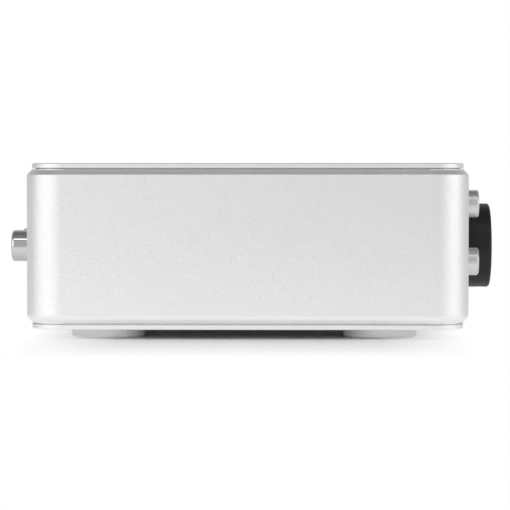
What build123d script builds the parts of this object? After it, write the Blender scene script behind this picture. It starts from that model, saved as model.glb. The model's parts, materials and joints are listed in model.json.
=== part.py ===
from build123d import *
import os
from math import asin, degrees

# A direct injection box: a rounded aluminium tube closed by an inset plate above and below,
# standing on four pads. The end at +X carries the level knob, two push buttons and the XLR
# output, and the end at -X carries the input and thru jack sockets.
# Millimetres. X runs along the box, Y across it, Z up. The origin is on the surface the
# pads stand on, below the middle of the case.

os.makedirs("parts", exist_ok=True)

# ---------------------------------------------------------------- driving dimensions
# Case tube
case_length = 142.0  # outside, along X
case_depth = 106.0  # outside, along Y
case_height = 49.2  # the tube alone, without its plates
corner_radius = 12.0
wall = 3.0
rim_chamfer = 1.8
post_reach = 10.0  # how far each corner post reaches in from the inside walls
post_round = 4.0
post_hole_inset = 5.0  # screw axis from the inside walls
post_hole_depth = 12.0

# Cover plates
plate_thickness = 1.6
plate_inset = 1.7  # plate edge from the outside of the tube
plate_edge_radius = 0.7
step_height = 0.3  # raised step that seats on the rim and leaves a shadow gap
step_inset = 2.4  # step edge from the outside of the tube

# Feet
foot_radius = 11.85
foot_height = 3.0
foot_edge_radius = 0.6
foot_inset_x = 27.0  # pad centre from the end of the tube, before the shift
foot_shift_x = -1.2  # the four pads stand slightly towards the jack end
foot_inset_y = 17.0  # pad centre from the side of the tube

# M3 countersunk screws, simplified to a cone and a plain shank
head_radius = 2.75
shank_radius = 1.5
head_height = head_radius - shank_radius  # 90 degree head
socket_radius = 1.15
socket_depth = 0.9
screw_play = 0.1  # around a head or a shank that passes through
thread_play = 0.03  # around a shank that is screwed in
plate_screw_length = 9.0

# Circuit boards
board_thickness = 1.6
standoff_radius = 3.2  # to the corners of the hexagon
standoff_foot_gap = 6.15  # pillar axis to the edge of the nearest pad
standoff_web = 0.5  # left between the holes tapped from each end
bore_end_gap = 0.3  # screw tip to the bottom of its hole
pan_head_radius = 2.8
pan_head_height = 2.0
pan_head_edge = 0.7
board_edge_gap = 2.0  # main board to the end walls
board_side_gap = 8.0  # main board to the side walls
board_post_gap = 0.6  # main board corner notches to the posts
front_board_setback = 10.0  # panel inside face to the front board
front_board_headroom = 6.0  # top edge to the top of the tube
front_board_xlr_gap = 2.0
connector_size = 2.5  # strip that joins the front board to the main board
connector_pitch = 2.54
connector_pins = 10
pin_side = 0.64
pin_play = 0.18
pin_tail = 1.2  # pin beyond the far side of a board

# Controls and sockets on the end panels
axis_drop = 0.7  # knob, jack and XLR axes below the middle of the tube
xlr_post_gap = 1.0  # XLR housing to the corner post
button_inset = 19.0  # button axes from the inside of the near wall
knob_from_buttons = 25.0  # along Y
button_rises = {"pad": 14.1, "ground": -4.6}  # above the knob's axis
jack_pitch = 30.0

# Level knob
knob_radius = 14.0
knob_proud = 9.6  # panel face to the middle of the domed front
knob_dome = 0.3  # rise of the domed front
knob_edge = 0.7
knob_gap = 0.8  # panel face to the back of the knob
knob_hollow_radius = 11.0
knob_front_wall = 1.5
insert_radius = 4.6
set_screw_radius = 1.5
set_screw_socket = 0.85
set_screw_sink = 2.0  # outer end below the side of the knob
pointer_width = 1.3
pointer_depth = 0.4
pointer_inner = 5.0  # from the axis
pointer_outer = 12.6

# Potentiometer
pot_side = 16.0
pot_corner = 1.0
pot_cavity_radius = 5.5
pot_back_wall = 1.6
bushing_radius = 3.5
bushing_proud = 3.6  # beyond the panel face
bushing_flange_radius = 6.2
bushing_flange = 1.2
bushing_end_gap = 0.5  # to the bottom of the knob's hollow
shaft_radius = 3.0
shaft_play = 0.04
shaft_back_gap = 0.3
shaft_front_gap = 0.5
wiper_radius = 5.0
wiper_back_gap = 1.0
wiper_thickness = 1.2
washer_radius = 5.6
washer_thickness = 0.5
nut_across_corners = 11.0
nut_thickness = 2.0

# Push buttons
button_radius = 4.5
button_proud = 3.9
button_length = 5.4
button_rim = 0.8
button_play = 0.2
button_travel = 3.0
switch_side = 8.4
switch_depth = 7.0
switch_back_wall = 0.8
plunger_side = 3.0
plunger_play = 0.15
plunger_end_gap = 0.2  # left behind the plunger at full travel
plunger_in_button = 2.4

# Jack sockets
plug_bore_radius = 3.25  # for a 6.35 mm plug
ferrule_radius = 5.2
ferrule_proud = 7.8
ferrule_lip = 1.2
ferrule_round = 0.9
nose_radius = 4.4
nose_play = 0.1
jack_body_length = 27.0
jack_body_width = 16.0
jack_body_rise = 8.0  # above the axis
jack_wall = 2.5
jack_front_wall = 4.0
jack_chamber = 19.0
contact_thickness = 0.4
contact_width = 3.0
contact_gap = 0.4  # contact to the side of the plug
contact_above_axis = 3.0
contact_stations = ((4.0, 1), (10.0, -1), (15.5, 1))  # from the chamber's mouth, side

# XLR output
xlr_side = 26.0
xlr_depth = 18.0  # behind the panel
xlr_nose_radius = 10.9
xlr_nose_play = 0.1
xlr_flush = 0.2  # nose end below the panel face
xlr_cup_radius = 9.6
xlr_cup_depth = 15.0
xlr_insert_thickness = 4.0
xlr_pin_radius = 1.2
xlr_pin_circle = 4.0
xlr_pin_angles = (0.0, 180.0, 270.0)
xlr_pin_length = 13.0  # in the cup
xlr_pin_tip = 0.8
xlr_pin_play = 0.02
xlr_screw_offset = 10.0
xlr_screw_length = 8.0

# Output transformer
core_length = 30.0  # X
core_stack = 14.0  # Y
core_height = 25.0
core_leg = 5.0  # outer legs and yokes
core_centre_leg = 10.0
bobbin_wall = 0.8
bobbin_play = 0.1
winding_build = 3.2
winding_edge = 1.5
strap_thickness = 0.8
strap_foot = 7.0
transformer_y = 10.0
transformer_nut_radius = 3.1
transformer_nut_height = 2.4

# Small parts on the main board
capacitor_radius = 4.0
capacitor_height = 11.5
capacitor_edge = 0.6
capacitor_jack_gap = 4.0
capacitor_ys = (-28.0, -17.0, 17.0, 28.0)
chip_size = (9.8, 6.4, 3.3)
chip_y = -20.0
chip_xs = (-10.0, 8.0)
film_size = (7.0, 12.0, 10.0)
film_x = 36.0
film_ys = (-22.0, -8.0)
resistor_radius = 1.15
resistor_length = 6.5
resistor_y = -28.0
resistor_pitch = 4.0
resistor_count = 8

# ---------------------------------------------------------------- derived levels and places
bottom_plate_face = foot_height
case_bottom = bottom_plate_face + plate_thickness + step_height
case_top = case_bottom + case_height
top_plate_face = case_top + step_height + plate_thickness
panel_face = case_length / 2
panel_inside = panel_face - wall
side_inside = case_depth / 2 - wall
axis_height = (case_bottom + case_top) / 2 - axis_drop
# The XLR housing stands on the main board, which sets the board's level
board_top = axis_height - xlr_side / 2
board_bottom = board_top - board_thickness
standoff_height = board_bottom - case_bottom
standoff_bore_depth = (standoff_height - standoff_web) / 2
front_board_face = panel_inside - front_board_setback
front_board_back = front_board_face - board_thickness
front_board_top = case_top - front_board_headroom
post_x = panel_inside - post_hole_inset
post_y = side_inside - post_hole_inset
foot_x = case_length / 2 - foot_inset_x
foot_y = case_depth / 2 - foot_inset_y
standoff_x = foot_x - foot_radius - standoff_foot_gap

xlr_y = side_inside - post_reach - xlr_post_gap - xlr_side / 2
button_y = button_inset - side_inside
knob_y = button_y + knob_from_buttons
button_heights = {name: axis_height + rise for name, rise in button_rises.items()}
jack_ys = {"input": -jack_pitch / 2, "thru": jack_pitch / 2}

# Stations along the knob's axis
knob_back = panel_face + knob_gap
knob_front = panel_face + knob_proud
bushing_end = panel_face + bushing_proud
hollow_end = bushing_end + bushing_end_gap
insert_end = knob_front - knob_front_wall
insert_length = insert_end - hollow_end
shaft_end = insert_end - shaft_front_gap

post_points = [(sx * post_x, sy * post_y) for sx in (-1, 1) for sy in (-1, 1)]
standoff_points = [(sx * standoff_x, sy * foot_y) for sx in (-1, 1) for sy in (-1, 1)]


# ---------------------------------------------------------------- helpers
def save(builder, label):
    """Label a finished piece and write it as its own STEP file."""
    builder.part.label = label
    export_step(builder.part, f"parts/{label}.step")


def across(x):
    """The plane across the box at x, whose own axes are the world's Y and Z."""
    return Plane.YZ.offset(x)


def turned(points, y, z):
    """A piece turned about the line parallel to X through (y, z); each point is (x, radius)."""
    half_plane = Plane(origin=(0, y, z), x_dir=(1, 0, 0), z_dir=(0, -1, 0))
    with BuildPart() as piece:
        with BuildSketch(half_plane):
            with BuildLine():
                Polyline(*points, close=True)
            make_face()
        revolve(axis=Axis((0, y, z), (1, 0, 0)))
    return piece


def seats(points, level, inward):
    """Planes at the outer face of a plate, one for each screw, pointing into the plate."""
    return [Plane(origin=(x, y, level), z_dir=(0, 0, inward)) for x, y in points]


def countersunk_screws(places, length):
    """Countersunk socket screws, each with the middle of its head on one of the planes."""
    with BuildPart() as screws:
        with Locations(*places):
            Cone(head_radius, shank_radius, head_height, align=(Align.CENTER, Align.CENTER, Align.MIN))
            Cylinder(shank_radius, length, align=(Align.CENTER, Align.CENTER, Align.MIN))
        with BuildSketch(*places):
            RegularPolygon(socket_radius, 6)
        extrude(amount=socket_depth, mode=Mode.SUBTRACT)
    return screws


def cut_countersinks(places, depth):
    """Clearance holes with countersinks, cut into the piece being built."""
    with Locations(*places):
        Cone(
            head_radius + screw_play,
            shank_radius + screw_play,
            head_height,
            align=(Align.CENTER, Align.CENTER, Align.MIN),
            mode=Mode.SUBTRACT,
        )
        Cylinder(
            shank_radius + screw_play,
            depth,
            align=(Align.CENTER, Align.CENTER, Align.MIN),
            mode=Mode.SUBTRACT,
        )


def cover_plate(outer_face, inward, screw_points):
    """A rounded plate with eased edges and a step that seats on the rim of the tube."""
    with BuildPart() as plate:
        with BuildSketch(Plane.XY.offset(outer_face)):
            RectangleRounded(
                case_length - 2 * plate_inset,
                case_depth - 2 * plate_inset,
                corner_radius - plate_inset,
            )
        extrude(amount=inward * plate_thickness)
        edge_radius = min(plate_edge_radius, 0.45 * plate_thickness)
        fillet(plate.faces().filter_by(Axis.Z).edges(), edge_radius)
        with BuildSketch(Plane.XY.offset(outer_face + inward * plate_thickness)):
            RectangleRounded(
                case_length - 2 * step_inset,
                case_depth - 2 * step_inset,
                corner_radius - step_inset,
            )
        extrude(amount=inward * step_height)
        cut_countersinks(seats(screw_points, outer_face, inward), plate_thickness + step_height)
    return plate


# ---------------------------------------------------------------- case
with BuildPart() as case_tube:
    with BuildSketch(Plane.XY.offset(case_bottom)):
        RectangleRounded(case_length, case_depth, corner_radius)
    extrude(amount=case_height)
    chamfer(case_tube.faces().filter_by(Axis.Z).edges(), rim_chamfer)
    with BuildSketch(Plane.XY.offset(case_bottom)):
        RectangleRounded(2 * panel_inside, 2 * side_inside, corner_radius - wall)
        with GridLocations(2 * panel_inside, 2 * side_inside, 2, 2):
            RectangleRounded(2 * post_reach, 2 * post_reach, post_round, mode=Mode.SUBTRACT)
    extrude(amount=case_height, mode=Mode.SUBTRACT)
    # Tapped holes in both ends of the corner posts
    for level, inward in ((case_bottom, 1), (case_top, -1)):
        with BuildSketch(Plane.XY.offset(level)):
            with Locations(*post_points):
                Circle(shank_radius + thread_play)
        extrude(amount=inward * post_hole_depth, mode=Mode.SUBTRACT)
    # Holes in the control end
    with BuildSketch(across(panel_inside)):
        with Locations((knob_y, axis_height)):
            Circle(bushing_radius + screw_play)
        with Locations(*[(button_y, height) for height in button_heights.values()]):
            Circle(button_radius + button_play)
        with Locations((xlr_y, axis_height)):
            Circle(xlr_nose_radius + xlr_nose_play)
    extrude(amount=wall, mode=Mode.SUBTRACT)
    xlr_seats = [
        Plane(
            origin=(panel_face, xlr_y + side * xlr_screw_offset, axis_height + side * xlr_screw_offset),
            z_dir=(-1, 0, 0),
        )
        for side in (-1, 1)
    ]
    cut_countersinks(xlr_seats, wall)
    # Holes in the jack end
    with BuildSketch(across(-panel_face)):
        with Locations(*[(y, axis_height) for y in jack_ys.values()]):
            Circle(nose_radius + nose_play)
    extrude(amount=wall, mode=Mode.SUBTRACT)
save(case_tube, "case_tube")

top_plate = cover_plate(top_plate_face, -1, post_points)
save(top_plate, "top_plate")

bottom_plate = cover_plate(bottom_plate_face, 1, post_points + standoff_points)
save(bottom_plate, "bottom_plate")

top_plate_screws = countersunk_screws(seats(post_points, top_plate_face, -1), plate_screw_length)
save(top_plate_screws, "top_plate_screws")

bottom_plate_screws = countersunk_screws(seats(post_points, bottom_plate_face, 1), plate_screw_length)
save(bottom_plate_screws, "bottom_plate_screws")

foot_names = {
    "foot_jack_end_near": (-1, -1),
    "foot_jack_end_far": (-1, 1),
    "foot_control_end_near": (1, -1),
    "foot_control_end_far": (1, 1),
}
for name, (end, side) in foot_names.items():
    with BuildPart() as foot:
        with BuildSketch(Plane.XY):
            with Locations((foot_shift_x + end * foot_x, side * foot_y)):
                Circle(foot_radius)
        extrude(amount=foot_height)
        fillet(foot.faces().sort_by(Axis.Z)[0].edges(), foot_edge_radius)
    save(foot, name)

# ---------------------------------------------------------------- boards and their fixings
capacitor_x = -panel_inside + jack_body_length + capacitor_jack_gap + capacitor_radius
xlr_back = panel_inside - xlr_depth
# The transformer stands midway between the capacitors and the XLR
transformer_x = (capacitor_x + capacitor_radius + xlr_back) / 2
transformer_centre = (transformer_x, transformer_y)
connector_x = front_board_back - connector_size / 2
connector_z = board_top + connector_size / 2
front_board_near = board_side_gap - side_inside
front_board_far = xlr_y - xlr_side / 2 - front_board_xlr_gap
connector_middle_y = (front_board_near + front_board_far) / 2
connector_length = connector_pins * connector_pitch

with BuildPart() as main_board:
    with BuildSketch(Plane.XY.offset(board_bottom)):
        Rectangle(2 * (panel_inside - board_edge_gap), 2 * (side_inside - board_side_gap))
        # Corner notches that clear the posts of the tube
        with GridLocations(2 * panel_inside, 2 * side_inside, 2, 2):
            notch = 2 * (post_reach + board_post_gap)
            Rectangle(notch, notch, mode=Mode.SUBTRACT)
        with Locations(*standoff_points):
            Circle(shank_radius + screw_play, mode=Mode.SUBTRACT)
        strap_hole_x = core_length / 2 + strap_thickness + strap_foot / 2
        strap_holes = [(transformer_x + side * strap_hole_x, transformer_y) for side in (-1, 1)]
        with Locations(*strap_holes):
            Circle(shank_radius + screw_play, mode=Mode.SUBTRACT)
        with Locations((connector_x, connector_middle_y)):
            with GridLocations(0, connector_pitch, 1, connector_pins):
                Rectangle(pin_side + pin_play, pin_side + pin_play, mode=Mode.SUBTRACT)
    extrude(amount=board_thickness)
save(main_board, "main_board")

with BuildPart() as front_board:
    with BuildSketch(across(front_board_back)):
        with Locations((front_board_near, board_top)):
            Rectangle(
                front_board_far - front_board_near,
                front_board_top - board_top,
                align=(Align.MIN, Align.MIN),
            )
        with Locations((connector_middle_y, connector_z)):
            with GridLocations(connector_pitch, 0, connector_pins, 1):
                Rectangle(pin_side + pin_play, pin_side + pin_play, mode=Mode.SUBTRACT)
    extrude(amount=board_thickness)
save(front_board, "front_board")

with BuildPart() as board_connector:
    with BuildSketch(Plane.XY.offset(board_top)):
        with Locations((connector_x, connector_middle_y)):
            Rectangle(connector_size, connector_length)
            with GridLocations(0, connector_pitch, 1, connector_pins):
                Rectangle(pin_side + pin_play, pin_side + pin_play, mode=Mode.SUBTRACT)
    extrude(amount=connector_size)
    with BuildSketch(across(connector_x)):
        with Locations((connector_middle_y, connector_z)):
            with GridLocations(connector_pitch, 0, connector_pins, 1):
                Rectangle(pin_side + pin_play, pin_side + pin_play)
    extrude(amount=connector_size, mode=Mode.SUBTRACT)
save(board_connector, "board_connector")

# Right-angle pins: one leg down through the main board, one through the front board
with BuildPart() as connector_pins_group:
    with BuildSketch(Plane.XY.offset(board_bottom - pin_tail)):
        with Locations((connector_x, connector_middle_y)):
            with GridLocations(0, connector_pitch, 1, connector_pins):
                Rectangle(pin_side, pin_side)
    extrude(amount=connector_z + pin_side / 2 - (board_bottom - pin_tail))
    with BuildSketch(across(connector_x)):
        with Locations((connector_middle_y, connector_z)):
            with GridLocations(connector_pitch, 0, connector_pins, 1):
                Rectangle(pin_side, pin_side)
    extrude(amount=front_board_face + pin_tail - connector_x)
save(connector_pins_group, "connector_pins")

with BuildPart() as standoffs:
    with BuildSketch(Plane.XY.offset(case_bottom)):
        with Locations(*standoff_points):
            RegularPolygon(standoff_radius, 6)
    extrude(amount=standoff_height)
    for level, inward in ((case_bottom, 1), (board_bottom, -1)):
        with BuildSketch(Plane.XY.offset(level)):
            with Locations(*standoff_points):
                Circle(shank_radius + thread_play)
        extrude(amount=inward * standoff_bore_depth, mode=Mode.SUBTRACT)
save(standoffs, "standoffs")

thread_reach = standoff_bore_depth - bore_end_gap
standoff_screws = countersunk_screws(
    seats(standoff_points, bottom_plate_face, 1), plate_thickness + step_height + thread_reach
)
save(standoff_screws, "standoff_screws")


def pan_screws(points, level, length):
    """Pan-head screws that point down, with the underside of each head at the level."""
    with BuildPart() as screws:
        with BuildSketch(Plane.XY.offset(level)):
            with Locations(*points):
                Circle(pan_head_radius)
        extrude(amount=pan_head_height)
        fillet(screws.faces().filter_by(Axis.Z).group_by(Axis.Z)[-1].edges(), pan_head_edge)
        with BuildSketch(Plane.XY.offset(level)):
            with Locations(*points):
                Circle(shank_radius)
        extrude(amount=-length)
    return screws


board_screws = pan_screws(standoff_points, board_top, board_thickness + thread_reach)
save(board_screws, "board_screws")

# ---------------------------------------------------------------- level control
pot_back = front_board_face
cavity_back = pot_back + pot_back_wall
flange_back = panel_inside - bushing_flange

with BuildPart() as pot_body:
    with BuildSketch(across(pot_back)):
        with Locations((knob_y, axis_height)):
            RectangleRounded(pot_side, pot_side, pot_corner)
    extrude(amount=panel_inside - pot_back)
    with BuildSketch(across(cavity_back)):
        with Locations((knob_y, axis_height)):
            Circle(pot_cavity_radius)
    extrude(amount=panel_inside - cavity_back, mode=Mode.SUBTRACT)
    with BuildSketch(across(flange_back)):
        with Locations((knob_y, axis_height)):
            Circle(bushing_flange_radius + thread_play)
    extrude(amount=bushing_flange, mode=Mode.SUBTRACT)
save(pot_body, "pot_body")

bushing_bore = shaft_radius + shaft_play
pot_bushing = turned(
    [
        (flange_back, bushing_bore),
        (flange_back, bushing_flange_radius),
        (panel_inside, bushing_flange_radius),
        (panel_inside, bushing_radius),
        (bushing_end, bushing_radius),
        (bushing_end, bushing_bore),
    ],
    knob_y,
    axis_height,
)
save(pot_bushing, "pot_bushing")

# The shaft runs from the back of the cavity to the front of the knob's insert
shaft_back = cavity_back + shaft_back_gap
wiper_back = cavity_back + wiper_back_gap
pot_shaft = turned(
    [(shaft_back, 0), (shaft_back, shaft_radius), (shaft_end, shaft_radius), (shaft_end, 0)],
    knob_y,
    axis_height,
)
save(pot_shaft, "pot_shaft")

pot_wiper = turned(
    [
        (wiper_back, shaft_radius + thread_play),
        (wiper_back, wiper_radius),
        (wiper_back + wiper_thickness, wiper_radius),
        (wiper_back + wiper_thickness, shaft_radius + thread_play),
    ],
    knob_y,
    axis_height,
)
save(pot_wiper, "pot_wiper")

pot_washer = turned(
    [
        (panel_face, bushing_radius + screw_play),
        (panel_face, washer_radius),
        (panel_face + washer_thickness, washer_radius),
        (panel_face + washer_thickness, bushing_radius + screw_play),
    ],
    knob_y,
    axis_height,
)
save(pot_washer, "pot_washer")

with BuildPart() as pot_nut:
    with BuildSketch(across(panel_face + washer_thickness)):
        with Locations((knob_y, axis_height)):
            RegularPolygon(nut_across_corners / 2, 6)
            Circle(bushing_radius + thread_play, mode=Mode.SUBTRACT)
    extrude(amount=nut_thickness)
save(pot_nut, "pot_nut")


def knob_form():
    """The outside of the knob: a plain side, a rounded edge and a slightly domed front."""
    dome_radius = (knob_radius**2 + knob_dome**2) / (2 * knob_dome)
    dome_angle = degrees(asin(knob_radius / dome_radius))
    half_plane = Plane(origin=(0, knob_y, axis_height), x_dir=(1, 0, 0), z_dir=(0, -1, 0))
    with BuildPart() as form:
        with BuildSketch(half_plane):
            with BuildLine():
                front = CenterArc((knob_front - dome_radius, 0), dome_radius, 0, dome_angle)
                Polyline(front @ 1, (knob_back, knob_radius), (knob_back, 0), front @ 0)
            make_face()
        revolve(axis=Axis((0, knob_y, axis_height), (1, 0, 0)))
        rims = form.edges().filter_by(lambda edge: edge.is_closed and edge.length > knob_radius)
        fillet(rims.sort_by(Axis.X)[-1], knob_edge)
    return form


# The pointer's slot stands upright on the knob's face
slot_depth = pointer_depth + knob_dome
with BuildSketch(across(knob_front - slot_depth)) as pointer_slot:
    with Locations((knob_y, axis_height + (pointer_inner + pointer_outer) / 2)):
        SlotOverall(pointer_outer - pointer_inner, pointer_width, rotation=90)

plain_knob = knob_form()
with BuildPart() as knob:
    add(plain_knob.part)
    with BuildSketch(across(knob_back)):
        with Locations((knob_y, axis_height)):
            Circle(knob_hollow_radius)
    extrude(amount=hollow_end - knob_back, mode=Mode.SUBTRACT)
    with BuildSketch(across(hollow_end)):
        with Locations((knob_y, axis_height)):
            Circle(insert_radius)
    extrude(amount=insert_length, mode=Mode.SUBTRACT)
    # Radial hole for the set screw, on the side opposite the pointer
    with BuildSketch(Plane.XY.offset(axis_height - knob_radius)):
        with Locations((hollow_end + insert_length / 2, knob_y)):
            Circle(set_screw_radius + thread_play)
    extrude(amount=knob_radius - shaft_radius, mode=Mode.SUBTRACT)
    extrude(pointer_slot.sketch, amount=slot_depth, mode=Mode.SUBTRACT)
save(knob, "knob")

with BuildPart() as knob_pointer:
    add(plain_knob.part)
    extrude(pointer_slot.sketch, amount=slot_depth, mode=Mode.INTERSECT)
save(knob_pointer, "knob_pointer")

with BuildPart() as knob_insert:
    with BuildSketch(across(hollow_end)):
        with Locations((knob_y, axis_height)):
            Circle(insert_radius)
            Circle(shaft_radius + thread_play, mode=Mode.SUBTRACT)
    extrude(amount=insert_length)
    with BuildSketch(Plane.XY.offset(axis_height - insert_radius)):
        with Locations((hollow_end + insert_length / 2, knob_y)):
            Circle(set_screw_radius + thread_play)
    extrude(amount=insert_radius - shaft_radius / 2, mode=Mode.SUBTRACT)
save(knob_insert, "knob_insert")

set_screw_inner = shaft_radius + thread_play
set_screw_outer = knob_radius - set_screw_sink
with BuildPart() as knob_set_screw:
    with BuildSketch(Plane.XY.offset(axis_height - set_screw_outer)):
        with Locations((hollow_end + insert_length / 2, knob_y)):
            Circle(set_screw_radius)
    extrude(amount=set_screw_outer - set_screw_inner)
    with BuildSketch(Plane.XY.offset(axis_height - set_screw_outer)):
        with Locations((hollow_end + insert_length / 2, knob_y)):
            RegularPolygon(set_screw_socket, 6)
    extrude(amount=socket_depth, mode=Mode.SUBTRACT)
save(knob_set_screw, "knob_set_screw")

# ---------------------------------------------------------------- push buttons
button_front = panel_face + button_proud
button_back = button_front - button_length
switch_front = front_board_face + switch_depth
plunger_back = front_board_face + switch_back_wall + plunger_end_gap + button_travel
plunger_front = button_back + plunger_in_button

for name, height in button_heights.items():
    with BuildPart() as switch_body:
        with BuildSketch(across(front_board_face)):
            with Locations((button_y, height)):
                Rectangle(switch_side, switch_side)
        extrude(amount=switch_depth)
        with BuildSketch(across(front_board_face + switch_back_wall)):
            with Locations((button_y, height)):
                Rectangle(plunger_side + 2 * plunger_play, plunger_side + 2 * plunger_play)
        extrude(amount=switch_depth, mode=Mode.SUBTRACT)
    save(switch_body, f"{name}_switch_body")

    with BuildPart() as plunger:
        with BuildSketch(across(plunger_back)):
            with Locations((button_y, height)):
                Rectangle(plunger_side, plunger_side)
        extrude(amount=plunger_front - plunger_back)
    save(plunger, f"{name}_plunger")

    with BuildPart() as button:
        with BuildSketch(across(button_back)):
            with Locations((button_y, height)):
                Circle(button_radius)
        extrude(amount=button_length)
        fillet(button.faces().sort_by(Axis.X)[-1].edges(), button_rim)
        with BuildSketch(across(button_back)):
            with Locations((button_y, height)):
                Rectangle(plunger_side, plunger_side)
        extrude(amount=plunger_in_button, mode=Mode.SUBTRACT)
    save(button, f"{name}_button")

# ---------------------------------------------------------------- jack sockets
ferrule_front = -panel_face - ferrule_proud
nose_front = ferrule_front + ferrule_lip
jack_front = -panel_inside
chamber_front = jack_front + jack_front_wall
chamber_bottom = axis_height - jack_body_rise
contact_face = plug_bore_radius + contact_gap

for name, y in jack_ys.items():
    with BuildPart() as jack_body:
        with BuildSketch(across(jack_front)):
            with Locations((y, board_top)):
                Rectangle(
                    jack_body_width,
                    axis_height + jack_body_rise - board_top,
                    align=(Align.CENTER, Align.MIN),
                )
        extrude(amount=jack_body_length)
        with BuildSketch(across(nose_front)):
            with Locations((y, axis_height)):
                Circle(nose_radius)
        extrude(amount=jack_front - nose_front)
        # Chamber around the plug, open below for the contacts' tails
        with BuildSketch(Plane.XY.offset(board_top)):
            with Locations((chamber_front, y)):
                Rectangle(
                    jack_chamber,
                    jack_body_width - 2 * jack_wall,
                    align=(Align.MIN, Align.CENTER),
                )
        extrude(amount=axis_height + jack_body_rise - jack_wall - board_top, mode=Mode.SUBTRACT)
        with BuildSketch(across(nose_front)):
            with Locations((y, axis_height)):
                Circle(plug_bore_radius)
        extrude(amount=chamber_front - nose_front, mode=Mode.SUBTRACT)
    save(jack_body, f"{name}_jack_body")

    # Leaf contacts for the tip, ring and sleeve, standing on the board beside the plug
    with BuildPart() as contacts:
        for station, side in contact_stations:
            with BuildSketch(Plane.XY.offset(board_top)):
                with Locations((chamber_front + station, y + side * (contact_face + contact_thickness / 2))):
                    Rectangle(contact_width, contact_thickness)
            extrude(amount=axis_height + contact_above_axis - board_top)
    save(contacts, f"{name}_jack_contacts")

    with BuildPart() as ferrule:
        with BuildSketch(across(ferrule_front)):
            with Locations((y, axis_height)):
                Circle(ferrule_radius)
        extrude(amount=ferrule_proud)
        fillet(ferrule.faces().sort_by(Axis.X)[0].edges(), ferrule_round)
        with BuildSketch(across(ferrule_front)):
            with Locations((y, axis_height)):
                Circle(plug_bore_radius)
        extrude(amount=ferrule_lip, mode=Mode.SUBTRACT)
        with BuildSketch(across(nose_front)):
            with Locations((y, axis_height)):
                Circle(nose_radius + thread_play)
        extrude(amount=-panel_face - nose_front, mode=Mode.SUBTRACT)
    save(ferrule, f"{name}_jack_ferrule")

# ---------------------------------------------------------------- XLR output
xlr_front = panel_face - xlr_flush
cup_bottom = xlr_front - xlr_cup_depth
insert_back = cup_bottom - xlr_insert_thickness

with BuildPart() as xlr_housing:
    with BuildSketch(across(xlr_back)):
        with Locations((xlr_y, axis_height)):
            Rectangle(xlr_side, xlr_side)
    extrude(amount=xlr_depth)
    with BuildSketch(across(panel_inside)):
        with Locations((xlr_y, axis_height)):
            Circle(xlr_nose_radius)
    extrude(amount=xlr_front - panel_inside)
    with BuildSketch(across(insert_back)):
        with Locations((xlr_y, axis_height)):
            Circle(xlr_cup_radius)
    extrude(amount=xlr_front - insert_back, mode=Mode.SUBTRACT)
    with BuildSketch(across(panel_inside)):
        with Locations(*[(plane.origin.Y, plane.origin.Z) for plane in xlr_seats]):
            Circle(shank_radius + thread_play)
    extrude(amount=-xlr_screw_length, mode=Mode.SUBTRACT)
save(xlr_housing, "xlr_housing")

with BuildPart() as xlr_insert:
    with BuildSketch(across(insert_back)):
        with Locations((xlr_y, axis_height)):
            Circle(xlr_cup_radius)
            for angle in xlr_pin_angles:
                with PolarLocations(xlr_pin_circle, 1, start_angle=angle):
                    Circle(xlr_pin_radius + xlr_pin_play, mode=Mode.SUBTRACT)
    extrude(amount=xlr_insert_thickness)
save(xlr_insert, "xlr_insert")

with BuildPart() as xlr_pins:
    with BuildSketch(across(insert_back)):
        with Locations((xlr_y, axis_height)):
            for angle in xlr_pin_angles:
                with PolarLocations(xlr_pin_circle, 1, start_angle=angle):
                    Circle(xlr_pin_radius)
    extrude(amount=xlr_insert_thickness + xlr_pin_length)
    fillet(xlr_pins.faces().filter_by(Axis.X).group_by(Axis.X)[-1].edges(), xlr_pin_tip)
save(xlr_pins, "xlr_pins")

xlr_screws = countersunk_screws(xlr_seats, xlr_screw_length)
save(xlr_screws, "xlr_screws")

# ---------------------------------------------------------------- output transformer
window = (core_length - 2 * core_leg - core_centre_leg) / 2
bobbin_inside_x = core_centre_leg + 2 * bobbin_play
bobbin_inside_y = core_stack + 2 * bobbin_play
bobbin_outside_x = bobbin_inside_x + 2 * bobbin_wall
bobbin_outside_y = bobbin_inside_y + 2 * bobbin_wall
winding_x = bobbin_outside_x + 2 * winding_build
winding_y = bobbin_outside_y + 2 * winding_build
window_bottom = board_top + core_leg
window_top = board_top + core_height - core_leg

with BuildPart() as transformer_core:
    with BuildSketch(Plane.XZ.offset(-transformer_y - core_stack / 2)):
        with Locations((transformer_x, board_top)):
            Rectangle(core_length, core_height, align=(Align.CENTER, Align.MIN))
        with Locations((transformer_x, board_top + core_height / 2)):
            with GridLocations(core_centre_leg + window, 0, 2, 1):
                Rectangle(window, core_height - 2 * core_leg, mode=Mode.SUBTRACT)
    extrude(amount=core_stack)
save(transformer_core, "transformer_core")

flange_x = core_centre_leg + 2 * window - 2 * bobbin_play
with BuildPart() as transformer_bobbin:
    with BuildSketch(Plane.XY.offset(window_bottom + bobbin_play)):
        with Locations(transformer_centre):
            Rectangle(bobbin_outside_x, bobbin_outside_y)
    extrude(amount=window_top - window_bottom - 2 * bobbin_play)
    for level in (window_bottom + bobbin_play, window_top - bobbin_play - bobbin_wall):
        with BuildSketch(Plane.XY.offset(level)):
            with Locations(transformer_centre):
                Rectangle(flange_x, winding_y + 2 * bobbin_wall)
        extrude(amount=bobbin_wall)
    with BuildSketch(Plane.XY.offset(window_bottom)):
        with Locations(transformer_centre):
            Rectangle(bobbin_inside_x, bobbin_inside_y)
    extrude(amount=window_top - window_bottom, mode=Mode.SUBTRACT)
save(transformer_bobbin, "transformer_bobbin")

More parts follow.
